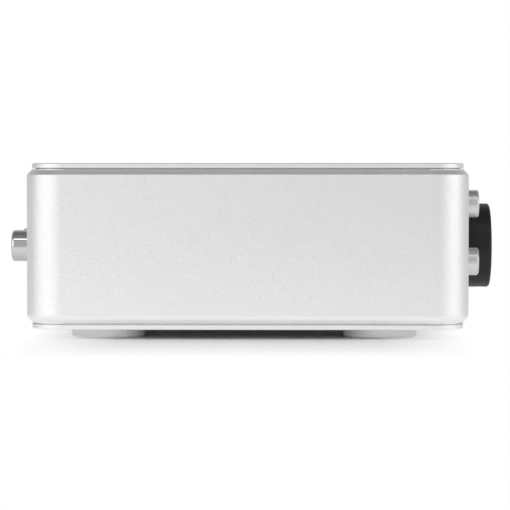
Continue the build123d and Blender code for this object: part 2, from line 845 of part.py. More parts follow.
coil_bottom = window_bottom + bobbin_play + bobbin_wall
coil_top = window_top - bobbin_play - bobbin_wall
with BuildPart() as transformer_winding:
    with BuildSketch(Plane.XY.offset(coil_bottom)):
        with Locations(transformer_centre):
            RectangleRounded(winding_x, winding_y, winding_edge)
            Rectangle(bobbin_outside_x, bobbin_outside_y, mode=Mode.SUBTRACT)
    extrude(amount=coil_top - coil_bottom)
save(transformer_winding, "transformer_winding")

# Strap that holds the core down, with a screwed foot at each end
strap_span = core_length + 2 * strap_thickness
with BuildPart() as transformer_strap:
    with BuildSketch(Plane.XZ.offset(-transformer_y - core_stack / 2)):
        with Locations((transformer_x, board_top)):
            Rectangle(strap_span, core_height + strap_thickness, align=(Align.CENTER, Align.MIN))
            Rectangle(strap_span + 2 * strap_foot, strap_thickness, align=(Align.CENTER, Align.MIN))
            Rectangle(
                core_length,
                core_height,
                align=(Align.CENTER, Align.MIN),
                mode=Mode.SUBTRACT,
            )
    extrude(amount=core_stack)
    with BuildSketch(Plane.XY.offset(board_top)):
        with Locations(*strap_holes):
            Circle(shank_radius + screw_play)
    extrude(amount=strap_thickness, mode=Mode.SUBTRACT)
save(transformer_strap, "transformer_strap")

transformer_screw_length = strap_thickness + board_thickness + transformer_nut_height
transformer_screws = pan_screws(strap_holes, board_top + strap_thickness, transformer_screw_length)
save(transformer_screws, "transformer_screws")

with BuildPart() as transformer_nuts:
    with BuildSketch(Plane.XY.offset(board_bottom)):
        with Locations(*strap_holes):
            RegularPolygon(transformer_nut_radius, 6)
            Circle(shank_radius + thread_play, mode=Mode.SUBTRACT)
    extrude(amount=-transformer_nut_height)
save(transformer_nuts, "transformer_nuts")

# ---------------------------------------------------------------- small parts on the main board
with BuildPart() as electrolytic_capacitors:
    with BuildSketch(Plane.XY.offset(board_top)):
        with Locations(*[(capacitor_x, y) for y in capacitor_ys]):
            Circle(capacitor_radius)
    extrude(amount=capacitor_height)
    can_tops = electrolytic_capacitors.faces().filter_by(Axis.Z).group_by(Axis.Z)[-1]
    fillet(can_tops.edges(), capacitor_edge)
save(electrolytic_capacitors, "electrolytic_capacitors")

with BuildPart() as amplifier_chips:
    with BuildSketch(Plane.XY.offset(board_top)):
        with Locations(*[(x, chip_y) for x in chip_xs]):
            Rectangle(chip_size[0], chip_size[1])
    extrude(amount=chip_size[2])
save(amplifier_chips, "amplifier_chips")

with BuildPart() as film_capacitors:
    with BuildSketch(Plane.XY.offset(board_top)):
        with Locations(*[(film_x, y) for y in film_ys]):
            Rectangle(film_size[0], film_size[1])
    extrude(amount=film_size[2])
save(film_capacitors, "film_capacitors")

with BuildPart() as resistors:
    with BuildSketch(Plane.XZ.offset(-resistor_y - resistor_length / 2)):
        with Locations((0, board_top + resistor_radius)):
            with GridLocations(resistor_pitch, 0, resistor_count, 1):
                Circle(resistor_radius)
    extrude(amount=resistor_length)
save(resistors, "resistors")
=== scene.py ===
"""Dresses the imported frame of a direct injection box: its finishes, its fine detail and a studio."""

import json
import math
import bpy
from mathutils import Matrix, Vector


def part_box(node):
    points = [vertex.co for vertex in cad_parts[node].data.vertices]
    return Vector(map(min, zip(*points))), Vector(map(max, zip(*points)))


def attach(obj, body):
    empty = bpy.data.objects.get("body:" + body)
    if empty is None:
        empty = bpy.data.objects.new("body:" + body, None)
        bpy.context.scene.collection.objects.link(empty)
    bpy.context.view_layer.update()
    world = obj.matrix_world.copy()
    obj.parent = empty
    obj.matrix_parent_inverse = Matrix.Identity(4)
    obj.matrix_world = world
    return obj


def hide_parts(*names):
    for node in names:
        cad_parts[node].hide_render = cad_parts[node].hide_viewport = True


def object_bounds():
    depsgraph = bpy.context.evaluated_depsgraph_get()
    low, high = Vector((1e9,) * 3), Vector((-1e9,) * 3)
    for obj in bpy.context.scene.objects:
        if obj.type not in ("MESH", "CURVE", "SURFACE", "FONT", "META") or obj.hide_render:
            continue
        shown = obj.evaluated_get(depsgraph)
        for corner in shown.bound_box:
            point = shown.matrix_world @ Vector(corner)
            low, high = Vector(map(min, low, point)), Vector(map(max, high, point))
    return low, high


bl_info = {
    "name": "Direct Injection Box",
    "version": (1, 0, 0),
    "blender": (4, 5, 0),
    "location": "3D View > Sidebar > DI Box",
    "description": "Builds the pieces, finishes and studio of a direct injection box on its packed frame",
    "category": "Object",
}

from functools import partial

import bmesh
import bpy
from bpy.props import FloatProperty, FloatVectorProperty, IntProperty, PointerProperty
from mathutils import Matrix, Vector

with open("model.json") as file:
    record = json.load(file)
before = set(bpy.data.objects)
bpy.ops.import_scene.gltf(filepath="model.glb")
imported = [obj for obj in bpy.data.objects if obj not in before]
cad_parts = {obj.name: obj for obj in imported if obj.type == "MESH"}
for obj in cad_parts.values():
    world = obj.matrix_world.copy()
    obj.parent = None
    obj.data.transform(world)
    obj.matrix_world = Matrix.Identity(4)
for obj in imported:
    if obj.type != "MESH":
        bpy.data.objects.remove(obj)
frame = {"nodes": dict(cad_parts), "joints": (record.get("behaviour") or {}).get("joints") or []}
cad_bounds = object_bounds()

MM = 0.001
MERGE = 1e-6  # vertices this near are one
LATHE_PATH = 0.02  # radius of the circle that a lathe profile is carried round
SHARP = math.radians(32)  # the angle past which an edge stays sharp
NEARLY_STRAIGHT = math.radians(88)  # half the angle at a profile's point past which it isn't rounded
OUT = 1 * MM  # how far a cutter stands clear of the face that it cuts
HEAD, SHANK = 2.75 * MM, 1.5 * MM  # radii of a countersunk M3 screw
FIGURE = 1.35  # a font's size over the height of its figures

# Panel openings: the node that centres one, the radius of what passes through, its clearance, and
# the end panel that it is in, 1 for the knob's
OPENINGS = (
    ("pot_bushing", 3.5 * MM, 0.1 * MM, 1),
    ("pad_button", 4.5 * MM, 0.2 * MM, 1),
    ("ground_button", 4.5 * MM, 0.2 * MM, 1),
    ("xlr_insert", 10.9 * MM, 0.1 * MM, 1),
    ("input_jack_ferrule", 4.4 * MM, 0.1 * MM, -1),
    ("thru_jack_ferrule", 4.4 * MM, 0.1 * MM, -1),
)

# Softboxes: azimuth and elevation in degrees from the middle of the object, distance, width and
# height in metres, and whether gloss sees it, or else matt surfaces
SOFTBOXES = {
    "key": (-50, 8, 0.9, 1.2, 0.9, True),
    "fill": (72, 8, 0.9, 0.75, 0.9, True),
    "top": (0, 49, 1.0, 0.9, 0.15, True),
    "paper": (-25, 62, 1.0, 0.6, 0.6, False),
}
CAMERA_TARGET = (2.63 * MM, 26.91 * MM)  # along the case's near side, and above the floor


# --- colours and nodes
def linear(hex_colour):
    """An sRGB hex colour as the linear RGBA that shaders take."""
    parts = [int(hex_colour[i : i + 2], 16) / 255 for i in (1, 3, 5)]
    return (*[p / 12.92 if p <= 0.04045 else ((p + 0.055) / 1.055) ** 2.4 for p in parts], 1.0)


def add_node(tree, kind, inputs=None, feeds=None, **settings):
    """Adds a node. Each input is given a value, or the node or output socket that feeds it, and the
    new node's first output goes on to the socket that it feeds."""
    made = tree.nodes.new(kind)
    for name, value in settings.items():
        setattr(made, name, value)
    for key, value in (inputs or {}).items():
        if isinstance(value, bpy.types.Node):
            value = value.outputs[0]
        if isinstance(value, bpy.types.NodeSocket):
            tree.links.new(value, made.inputs[key])
        else:
            made.inputs[key].default_value = value
    if feeds:
        tree.links.new(made.outputs[0], feeds)
    return made


# --- sizes and colours to change
def sized(name, description, default, unit="LENGTH"):
    """A size in metres, or a light's power in watts."""
    return FloatProperty(name=name, description=description, default=default, unit=unit)


def coloured(name, description, default):
    """A colour, given as sRGB hex."""
    return FloatVectorProperty(
        name=name, description=description, default=linear(default), size=4, subtype="COLOR"
    )


class DIBOX_PG_case(bpy.types.PropertyGroup):
    wall: sized("Wall", "Thickness of the tube's wall", 3.0 * MM)
    corner_radius: sized("Corner radius", "Outside radius of the upright corners", 12.0 * MM)
    rim_chamfer: sized("Rim chamfer", "Chamfer round both rims of the tube", 1.8 * MM)
    post_reach: sized("Post reach", "How far a corner post reaches in", 10.0 * MM)
    cover_thickness: sized("Cover thickness", "Thickness of a cover plate at its edge", 1.6 * MM)
    cover_edge: sized("Cover edge", "Rounding of a cover plate's edge", 0.4 * MM)
    edge_break: sized("Edge break", "Rounding left by blasting on each sharp edge", 0.25 * MM)
    grit: sized("Blast grain", "Width of a dimple left by a glass bead", 0.34 * MM)
    colour: coloured("Aluminium", "Colour of the anodised aluminium", "#E4E4E4")
    pad_colour: coloured("Pads", "Colour of the rubber pads", "#E2E2E2")


class DIBOX_PG_controls(bpy.types.PropertyGroup):
    knob_colour: coloured("Knob", "Colour of the moulded knob", "#0E0E0E")
    button_colour: coloured("Buttons", "Colour of the turned aluminium buttons", "#CACACA")
    ink_colour: coloured("Ink", "Colour of the printed scale", "#3A3A3A")
    scale_marks: IntProperty(name="Scale marks", description="Marks round the level knob", default=11, min=2)
    scale_radius: sized("Scale radius", "Inner end of the marks, from the knob's axis", 15.6 * MM)
    number_height: sized("Number height", "Height of the scale's numbers", 2.1 * MM)


class DIBOX_PG_sockets(bpy.types.PropertyGroup):
    chrome_colour: coloured("Chrome", "Colour of the chrome plate", "#C2C2C2")
    nylon_colour: coloured("Housings", "Colour of the moulded nylon housings", "#1A1A1B")


class DIBOX_PG_stage(bpy.types.PropertyGroup):
    floor_colour: coloured("Floor", "Colour of the studio floor", "#F4F4F4")
    camera_distance: sized("Camera distance", "Camera to the near side of the case", 0.72815)
    camera_height: sized("Camera height", "Camera above the floor", 0.05001)
    camera_aside: sized("Camera aside", "Camera from the middle of the case, towards the knob", 0.01522)
    lens: FloatProperty(
        name="Lens", description="Focal length in millimetres on a 36 mm sensor", default=162.53
    )
    key_power: sized("Key", "Power of the left softbox", 4.1, "POWER")
    fill_power: sized("Fill", "Power of the right softbox", 2.8, "POWER")
    top_power: sized("Top", "Power of the softbox above the camera", 0.9, "POWER")
    paper_power: sized("Paper", "Power of the overhead softbox for the floor", 3.3, "POWER")


class DIBOX_PG_settings(bpy.types.PropertyGroup):
    case: PointerProperty(type=DIBOX_PG_case)
    controls: PointerProperty(type=DIBOX_PG_controls)
    sockets: PointerProperty(type=DIBOX_PG_sockets)
    stage: PointerProperty(type=DIBOX_PG_stage)


# --- materials
def new_finish(name, **shading):
    """A material, what adds its nodes, its Principled shader and the object's coordinates in metres."""
    made = bpy.data.materials.new(name)
    made.use_nodes = True
    made.node_tree.nodes.clear()
    add = partial(add_node, made.node_tree)
    values = {key.replace("_", " "): value for key, value in shading.items()}
    shader = add("ShaderNodeBsdfPrincipled", values)
    add("ShaderNodeOutputMaterial", {"Surface": shader})
    return made, add, shader, add("ShaderNodeTexCoord").outputs["Object"]


def per_metre(size):
    """A noise or Voronoi scale whose features are this many metres wide."""
    return 1 / size


def textured(add, shader, relief, strength, depth, sheen=None, spread=None, **under):
    """Gives a shader the relief of one pattern, and a roughness that another spreads between two."""
    values = {"Height": relief, "Strength": strength, "Distance": depth, **under}
    add("ShaderNodeBump", values, shader.inputs["Normal"])
    if spread:
        values = {"Value": sheen, "To Min": spread[0], "To Max": spread[1]}
        add("ShaderNodeMapRange", values, shader.inputs["Roughness"])


def mottled(add, shader, colour, pattern, low, high):
    """Gives a shader a colour whose brightness a pattern spreads between two shares."""
    shade = add("ShaderNodeMapRange", {"Value": pattern, "To Min": low, "To Max": high})
    values = {0: tuple(colour)[:3], "Scale": shade}
    add("ShaderNodeVectorMath", values, shader.inputs["Base Color"], operation="SCALE")


def blasted_aluminium(name, colour, grit):
    """6063 aluminium, blasted with glass beads and clear anodised: a soft metal sheen with a fine
    sparkle. The real dimples are about 0.05 mm wide; they are drawn wide enough to show."""
    made, add, shader, place = new_finish(name, Metallic=1.0, Roughness=0.5)
    cells = add("ShaderNodeTexVoronoi", {"Vector": place, "Scale": per_metre(grit)}).outputs["Color"]
    # Each dimple faces its own way by a few degrees
    tilt = add("ShaderNodeVectorMath", {0: cells, 1: (-0.5, -0.5, -0.5)}, operation="ADD")
    lean = add("ShaderNodeVectorMath", {0: tilt, "Scale": 0.125}, operation="SCALE")
    face = add("ShaderNodeNewGeometry").outputs["Normal"]
    facet = add("ShaderNodeVectorMath", {0: face, 1: lean}, operation="ADD")
    unit = add("ShaderNodeVectorMath", {0: facet}, operation="NORMALIZE")
    fine = add("ShaderNodeTexNoise", {"Vector": place, "Scale": per_metre(2 * grit), "Detail": 3.0})
    # The anodic film varies a little over the surface, and dimple by dimple
    cloud = add("ShaderNodeTexNoise", {"Vector": place, "Scale": per_metre(14 * MM), "Detail": 4.0})
    textured(add, shader, fine, 0.35, 0.03 * MM, cloud, (0.46, 0.54), Normal=unit)
    mottled(add, shader, colour, cells, 0.962, 1.0)
    return made


def plated(name, colour, roughness, ripple):
    """A bright plated metal: nearly a mirror, with the faint ripple of the polished part under it."""
    made, add, shader, place = new_finish(name, Metallic=1.0, Base_Color=tuple(colour), Roughness=roughness)
    waves = add("ShaderNodeTexNoise", {"Vector": place, "Scale": per_metre(ripple), "Detail": 2.0})
    smear = add("ShaderNodeTexNoise", {"Vector": place, "Scale": per_metre(1.5 * MM), "Detail": 4.0})
    textured(add, shader, waves, 0.25, 0.02 * MM, smear, (0.7 * roughness, 1.4 * roughness))
    return made


def turned_metal(name, colour, centre, roughness=0.3, pitch=0.12 * MM):
    """Bar stock turned on a lathe: fine rings round the axis through the centre, parallel to X."""
    made, add, shader, place = new_finish(name, Metallic=1.0, Base_Color=tuple(colour), Roughness=roughness)
    values = {"Vector": place, "Location": (0, -centre[1], -centre[2])}
    about = add("ShaderNodeMapping", values, vector_type="POINT")
    split = add("ShaderNodeSeparateXYZ", {"Vector": about}).outputs
    flat = add("ShaderNodeCombineXYZ", {"Y": split["Y"], "Z": split["Z"]})
    radius = add("ShaderNodeVectorMath", {0: flat}, operation="LENGTH").outputs["Value"]
    along = add("ShaderNodeMath", {0: radius, 1: split["X"]}, operation="ADD")
    values = {"W": along, "Scale": per_metre(pitch), "Detail": 3.0, "Roughness": 0.6}
    rings = add("ShaderNodeTexNoise", values, noise_dimensions="1D")
    textured(add, shader, rings, 0.5, 0.02 * MM, rings, (roughness - 0.08, roughness + 0.08))
    return made


def moulded(name, colour, roughness, grain, depth, ior=1.5, mottle=0.12):
    """A moulded plastic or rubber: the spark-eroded texture of its tool, and a slight mottle."""
    made, add, shader, place = new_finish(name, Roughness=roughness, IOR=ior)
    values = {"Vector": place, "Scale": per_metre(grain), "Detail": 4.0, "Roughness": 0.6}
    spark = add("ShaderNodeTexNoise", values)
    textured(add, shader, spark, 0.5, depth, spark, (roughness - 0.07, roughness + 0.07))
    cloud = add("ShaderNodeTexNoise", {"Vector": place, "Scale": per_metre(6 * MM), "Detail": 3.0})
    mottled(add, shader, colour, cloud, 1 - mottle, 1 + mottle)
    return made


def striped(name, axis, pitch, dark, light, metallic, roughness, edge=0.5):
    """Sheets or wires side by side: dark joints between lighter edges, one pitch apart along an axis."""
    made, add, shader, place = new_finish(name, Metallic=metallic, Roughness=roughness)
    across = add("ShaderNodeSeparateXYZ", {"Vector": place}).outputs[axis]
    turns = add("ShaderNodeMath", {0: across, 1: 2 * math.pi / pitch}, operation="MULTIPLY")
    wave = add("ShaderNodeMath", {0: turns}, operation="SINE")
    share = add("ShaderNodeMapRange", {"Value": wave, "From Min": -1.0, "From Max": edge})
    tone = add("ShaderNodeMix", {"Factor": share, 6: linear(dark), 7: linear(light)}, data_type="RGBA")
    made.node_tree.links.new(tone.outputs[2], shader.inputs["Base Color"])
    textured(add, shader, share, 0.6, 0.05 * MM)
    return made


# --- geometry node trees
def new_tree(name, **sockets):
    """A Geometry Nodes tree with these inputs, what adds its nodes, its inputs and its end."""
    tree = bpy.data.node_groups.new(name, "GeometryNodeTree")
    for label, kind in {"Geometry": "Geometry", **sockets, "Material": "Material"}.items():
        label = label.replace("_", " ")
        tree.interface.new_socket(label, in_out="INPUT", socket_type="NodeSocket" + kind)
    tree.interface.new_socket("Geometry", in_out="OUTPUT", socket_type="NodeSocketGeometry")
    given, out = tree.nodes.new("NodeGroupInput").outputs, tree.nodes.new("NodeGroupOutput").inputs
    return tree, partial(add_node, tree), given, out


def end_tree(tree, geometry, given, out):
    """Ends a tree in real geometry that has its material."""
    real = add_node(tree, "GeometryNodeRealizeInstances", {"Geometry": geometry})
    values = {"Geometry": real, "Material": given["Material"]}
    add_node(tree, "GeometryNodeSetMaterial", values, out["Geometry"])
    return tree


def carried(add, path, profile):
    """A profile of edges carried along a path, kept upright."""
    upright = add("GeometryNodeSetCurveNormal", {"Curve": path}, mode="Z_UP")
    profile = add("GeometryNodeMeshToCurve", {"Mesh": profile})
    return add("GeometryNodeCurveToMesh", {"Curve": upright, "Profile Curve": profile})


def sweep_tree():
    """A profile carried round a rounded rectangle, in the way that an extruded tube's rim runs."""
    tree, add, given, out = new_tree(
        "Round the case", Length="Float", Depth="Float", Corner_Radius="Float", Corner_Steps="Int"
    )
    values = {"Width": given["Length"], "Height": given["Depth"]}
    path = add("GeometryNodeCurvePrimitiveQuadrilateral", values)
    values = {"Curve": path, "Count": given["Corner Steps"], "Radius": given["Corner Radius"]}
    rounded = add("GeometryNodeFilletCurve", values, mode="POLY")
    return end_tree(tree, carried(add, rounded, given["Geometry"]), given, out)


def lathe_tree():
    """A profile turned about an axis and repeated at each place. Where the profile's "flats" is 1
    the round becomes a hexagon, as in a nut or a hexagon socket."""
    tree, add, given, out = new_tree(
        "Turned and repeated", Profile="Object", Segments="Int", Path_Radius="Float",
        Direction="Vector", Random_Turn="Float", Seed="Int",
    )
    values = {"Resolution": given["Segments"], "Radius": given["Path Radius"]}
    circle = add("GeometryNodeCurvePrimitiveCircle", values)
    shape = add("GeometryNodeObjectInfo", {"Object": given["Profile"]}).outputs["Geometry"]
    swept = carried(add, circle, shape)
    # Hexagon: the radius falls from a corner to the middle of each flat
    where = add("GeometryNodeInputPosition")
    split = add("ShaderNodeSeparateXYZ", {"Vector": where}).outputs
    angle = add("ShaderNodeMath", {0: split["Y"], 1: split["X"]}, operation="ARCTAN2")
    sector = add("ShaderNodeMath", {0: angle, 1: math.pi / 3}, operation="FLOORED_MODULO")
    from_flat = add("ShaderNodeMath", {0: sector, 1: math.pi / 6}, operation="SUBTRACT")
    cosine = add("ShaderNodeMath", {0: from_flat}, operation="COSINE")
    share = add("ShaderNodeMath", {0: math.cos(math.pi / 6), 1: cosine}, operation="DIVIDE")
    flats = add("GeometryNodeInputNamedAttribute", {"Name": "flats"}, data_type="FLOAT")
    factor = add("ShaderNodeMix", {"Factor": flats.outputs["Attribute"], 2: 1.0, 3: share})
    x, y = (add("ShaderNodeMath", {0: split[axis], 1: factor}, operation="MULTIPLY") for axis in "XY")
    hexagon = add("ShaderNodeCombineXYZ", {"X": x, "Y": y, "Z": split["Z"]})
    shaped = add("GeometryNodeSetPosition", {"Geometry": swept, "Position": hexagon})
    closed = add("GeometryNodeMergeByDistance", {"Geometry": shaped, "Distance": MERGE})
    aligned = add("FunctionNodeAlignRotationToVector", {"Vector": given["Direction"]}, axis="Z")
    values = {2: 0.0, 3: given["Random Turn"], "Seed": given["Seed"]}
    chance = add("FunctionNodeRandomValue", values, data_type="FLOAT").outputs[1]
    spin = add("FunctionNodeAxisAngleToRotation", {"Axis": (0, 0, 1), "Angle": chance})
    values = {"Rotation": aligned, "Rotate By": spin}
    rotation = add("FunctionNodeRotateRotation", values, rotation_space="LOCAL")
    values = {"Points": given["Geometry"], "Instance": closed, "Rotation": rotation}
    return end_tree(tree, add("GeometryNodeInstanceOnPoints", values), given, out)


def scale_tree():
    """Marks spread evenly round an arc, each pointing at the arc's middle."""
    tree, add, given, out = new_tree("Dial marks", Count="Int", Radius="Float", Sweep="Float")
    gaps = add("ShaderNodeMath", {0: given["Count"], 1: 1.0}, operation="SUBTRACT")
    step = add("ShaderNodeMath", {0: given["Sweep"], 1: gaps}, operation="DIVIDE")
    points = add("GeometryNodePoints", {"Count": given["Count"]})
    index = add("GeometryNodeInputIndex")
    turn = add("ShaderNodeMath", {0: index, 1: step}, operation="MULTIPLY")
    half = add("ShaderNodeMath", {0: given["Sweep"], 1: 2.0}, operation="DIVIDE")
    angle = add("ShaderNodeMath", {0: half, 1: turn}, operation="SUBTRACT")
    rotation = add("FunctionNodeAxisAngleToRotation", {"Axis": (1, 0, 0), "Angle": angle})
    up = add("ShaderNodeCombineXYZ", {"Z": given["Radius"]})
    where = add("FunctionNodeRotateVector", {"Vector": up, "Rotation": rotation})
    spread = add("GeometryNodeSetPosition", {"Geometry": points, "Position": where})
    values = {"Points": spread, "Instance": given["Geometry"], "Rotation": rotation}
    return end_tree(tree, add("GeometryNodeInstanceOnPoints", values), given, out)


# --- shapes
def in_scene(name, data):
    """An object in the scene, at the origin."""
    made = bpy.data.objects.new(name, data)
    bpy.context.scene.collection.objects.link(made)
    return made


def settled(source):
    """The plain mesh of an object with its modifiers applied. The object itself goes."""
    depsgraph = bpy.context.evaluated_depsgraph_get()
    mesh = bpy.data.meshes.new_from_object(source.evaluated_get(depsgraph), depsgraph=depsgraph)
    bpy.data.objects.remove(source)
    return mesh


def mesh_of(form, name, *materials):
    """A bmesh as a mesh with its materials."""
    made = bpy.data.meshes.new(name)
    form.to_mesh(made)
    form.free()
    for material in materials:
        made.materials.append(material)
    return made


def grown(source, tree, **values):
    """The plain mesh that a tree makes from a source mesh, with these values on its named inputs."""
    seed = in_scene("seed", source)
    modifier = seed.modifiers.new(tree.name, "NODES")
    modifier.node_group = tree
    for socket in tree.interface.items_tree:
        label = socket.name.replace(" ", "_").lower()
        if socket.in_out == "INPUT" and label in values:
            modifier[socket.identifier] = values[label]
    seed.update_tag()
    return settled(seed)


def eased(points, ease=0.0, steps=4, closed=False):
    """A profile with its corners rounded. Each point is (across, along), with its own radius as a
    third number where it isn't the common one, and 1 as a fourth where it lies on a hexagon."""
    count, made = len(points), []
    for i, point in enumerate(points):
        here = Vector(point[:2])
        radius = point[2] if len(point) > 2 else ease
        flats = point[3] if len(point) > 3 else 0.0
        at_end = not closed and i in (0, count - 1)
        before, after = Vector(points[i - 1][:2]) - here, Vector(points[(i + 1) % count][:2]) - here
        half = 0.0 if at_end or radius <= 0 else before.angle(after) / 2
        if not 0 < half <= NEARLY_STRAIGHT:
            made.append((here.x, here.y, flats))
            continue
        reach = min(radius / math.tan(half), 0.48 * before.length, 0.48 * after.length)
        bisector = (before.normalized() + after.normalized()).normalized()
        centre = here + bisector * (reach / math.cos(half))
        start = here + before.normalized() * reach - centre
        end = here + after.normalized() * reach - centre
        sweep = math.remainder(math.atan2(end.y, end.x) - math.atan2(start.y, start.x), 2 * math.pi)
        for k in range(steps + 1):
            spoke = Matrix.Rotation(sweep * k / steps, 2) @ start
            made.append((centre.x + spoke.x, centre.y + spoke.y, flats))
    return made


def profile_mesh(points, closed, offset=0.0):
    """A profile as a mesh of edges: across is X less the offset, and along runs down Y."""
    mesh = bpy.data.meshes.new("profile")
    edges = [(i, i + 1) for i in range(len(points) - 1)] + ([(len(points) - 1, 0)] if closed else [])
    mesh.from_pydata([(x - offset, -y, 0) for x, y, _ in points], edges, [])
    flats = mesh.attributes.new("flats", "FLOAT", "POINT")
    flats.data.foreach_set("value", [f for _, _, f in points])
    return mesh


def turned(places, points, direction, material, segments=48, closed=False, random_turn=0.0, seed=1):
    """A profile of (radius, along) points, turned and repeated at each place, pointing one way."""
    cloud = bpy.data.meshes.new("places")
    cloud.from_pydata([tuple(p) for p in places], [], [])
    profile = in_scene("profile", profile_mesh(points, closed, LATHE_PATH))
    mesh = grown(
        cloud, TREES["lathe"],
        profile=profile, segments=segments, path_radius=LATHE_PATH, direction=Vector(direction),
        random_turn=random_turn, seed=seed, material=material,
    )
    bpy.data.objects.remove(profile)
    return mesh


def swept(points, low, high, corner_radius, material, closed=True):
    """A profile of (outwards, height) points, carried round the rounded rectangle between two corners."""
    mesh = grown(
        profile_mesh(points, closed), TREES["sweep"],
        length=high.x - low.x, depth=high.y - low.y, corner_radius=corner_radius, corner_steps=20,
        material=material,
    )
    mesh.transform(Matrix.Translation(((low.x + high.x) / 2, (low.y + high.y) / 2, 0)))
    return mesh


def rectangle(low_a, low_b, high_a, high_b):
    """The outline of a rectangle between two corners."""
    return [(low_a, low_b), (high_a, low_b), (high_a, high_b), (low_a, high_b)]


def prism(outline, start, end, axis, material):
    """A flat outline carried straight from start to end along X or Z."""
    form = bmesh.new()
    near, far = (
        [form.verts.new((level, a, b) if axis == "X" else (a, b, level)) for a, b in outline]
        for level in (start, end)
    )
    form.faces.new(near)
    form.faces.new(list(reversed(far)))
    for i in range(len(outline)):
        j = (i + 1) % len(outline)
        form.faces.new((near[i], near[j], far[j], far[i]))
    bmesh.ops.recalc_face_normals(form, faces=form.faces)
    return mesh_of(form, "prism", material)


def joined(meshes):
    """Several meshes as one."""
    form = bmesh.new()
    for mesh in meshes:
        form.from_mesh(mesh)
    return mesh_of(form, "joined", *meshes[0].materials)


def closed_form(mesh):
    """Merges a mesh's doubles, closes its open loops and points its faces outwards."""
    form = bmesh.new()
    form.from_mesh(mesh)
    bmesh.ops.remove_doubles(form, verts=form.verts, dist=MERGE)
    bmesh.ops.dissolve_degenerate(form, edges=form.edges, dist=MERGE)
    open_edges = [edge for edge in form.edges if edge.is_boundary]
    if open_edges:
        bmesh.ops.holes_fill(form, edges=open_edges)
    bmesh.ops.recalc_face_normals(form, faces=form.faces)
    form.to_mesh(mesh)
    form.free()
    return mesh


def combined(mesh, tools, operation="DIFFERENCE"):
    """The mesh with the tools, which don't touch each other, cut out of it or joined to it."""
    body = in_scene("body", closed_form(mesh))
    tool = in_scene("tool", closed_form(joined(tools)))
    modifier = body.modifiers.new("Boolean", "BOOLEAN")
    modifier.operation, modifier.solver, modifier.object = operation, "EXACT", tool
    made = settled(body)
    bpy.data.objects.remove(tool)
    return made


def solids(*nodes):
    """The box of each solid in these CAD nodes, as (lowest corner, highest corner), in X, Y, Z order."""
    boxes = []
    for name in nodes:
        form = bmesh.new()
        form.from_mesh(frame["nodes"][name].data)
        bmesh.ops.remove_doubles(form, verts=form.verts, dist=MERGE)
        left = set(form.verts)
        while left:
            stack, island = [left.pop()], []
            while stack:
                vert = stack.pop()
                island.append(vert.co.copy())
                for edge in vert.link_edges:
                    other = edge.other_vert(vert)
                    if other in left:
                        left.remove(other)
                        stack.append(other)
            boxes.append([Vector([end(co[k] for co in island) for k in range(3)]) for end in (min, max)])
        form.free()
    return sorted(boxes, key=lambda box: tuple(round(c, 6) for c in box[0]))


def middle(box):
    """The middle of a box."""
    return (box[0] + box[1]) / 2


def spot(box, **levels):
    """The middle of a box, moved to a level in x, y or z."""
    made = middle(box)
    for axis, level in levels.items():
        setattr(made, axis, level)
    return made


def round_size(box):
    """The radius and the length of a round part that lies along X."""
    return (box[1].z - box[0].z) / 2, box[1].x - box[0].x


def piece(name, mesh, body, slot, *nodes):
    """Makes a mesh the finished piece that stands for CAD nodes: closed, smooth between sharp edges."""
    closed_form(mesh)
    mesh.name = name
    mesh.shade_smooth()
    mesh.set_sharp_from_angle(angle=SHARP)
    made = in_scene(name, mesh)
    made.modifiers.new("Weighted normals", "WEIGHTED_NORMAL").keep_sharp = True
    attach(made, body)
    if nodes:
        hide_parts(*nodes)


def paint(material, *nodes):
    """Gives carried-over CAD nodes their material."""
    for name in nodes:
        mesh = frame["nodes"][name].data
        mesh.materials.clear()
        mesh.materials.append(material)


def drill(radius, flare, depth, tip=0.0, sunk=0.0):
    """Profile of a cutter for a round hole. A flare breaks its edge, sunk below the face where that
    is curved, and a tip points its end."""
    points = [
        (0, -OUT), (radius + flare, -OUT), (radius + flare, sunk), (radius, sunk + flare),
        (radius, depth), (0, depth + tip),
    ]
    return [(across, along, 0) for across, along in points]


def countersink(places, direction, depth, material):
    """Cutters for countersunk M3 screws, 0.1 mm clear all round."""
    head, shank, edge = HEAD + 0.1 * MM, SHANK + 0.1 * MM, 0.06 * MM
    points = [
        (0, -OUT, 0), (head + edge, -OUT, 0), (head + edge, 0, 0), (head, edge, 0),
        (shank, head - shank + 0.05 * MM, 0), (shank, depth + OUT, 0), (0, depth + OUT, 0),
    ]
    return turned(places, points, direction, material)


def socket_screw(length):
    """Profile of a countersunk M3 screw with a hexagon socket, from its face down its shank."""
    socket, deep, ease, tip = 1.15 * MM, 0.9 * MM, 0.06 * MM, 0.5 * MM
    rim = HEAD - 0.02 * MM
    return eased(
        [
            (0, deep + 0.35 * MM, 0), (socket * 0.9, deep, 0, 1), (socket, deep - 0.05 * MM, 0, 1),
            (socket, 0.12 * MM, 0, 1), (socket + 0.12 * MM, 0, 0, 1), (rim, 0, ease),
            (rim, 0.15 * MM, ease), (SHANK, HEAD - SHANK, ease), (SHANK, length - tip, 0),
            (SHANK - tip, length, 0), (0, length, 0),
        ]
    )


TREES = {}
FINISHES = {}


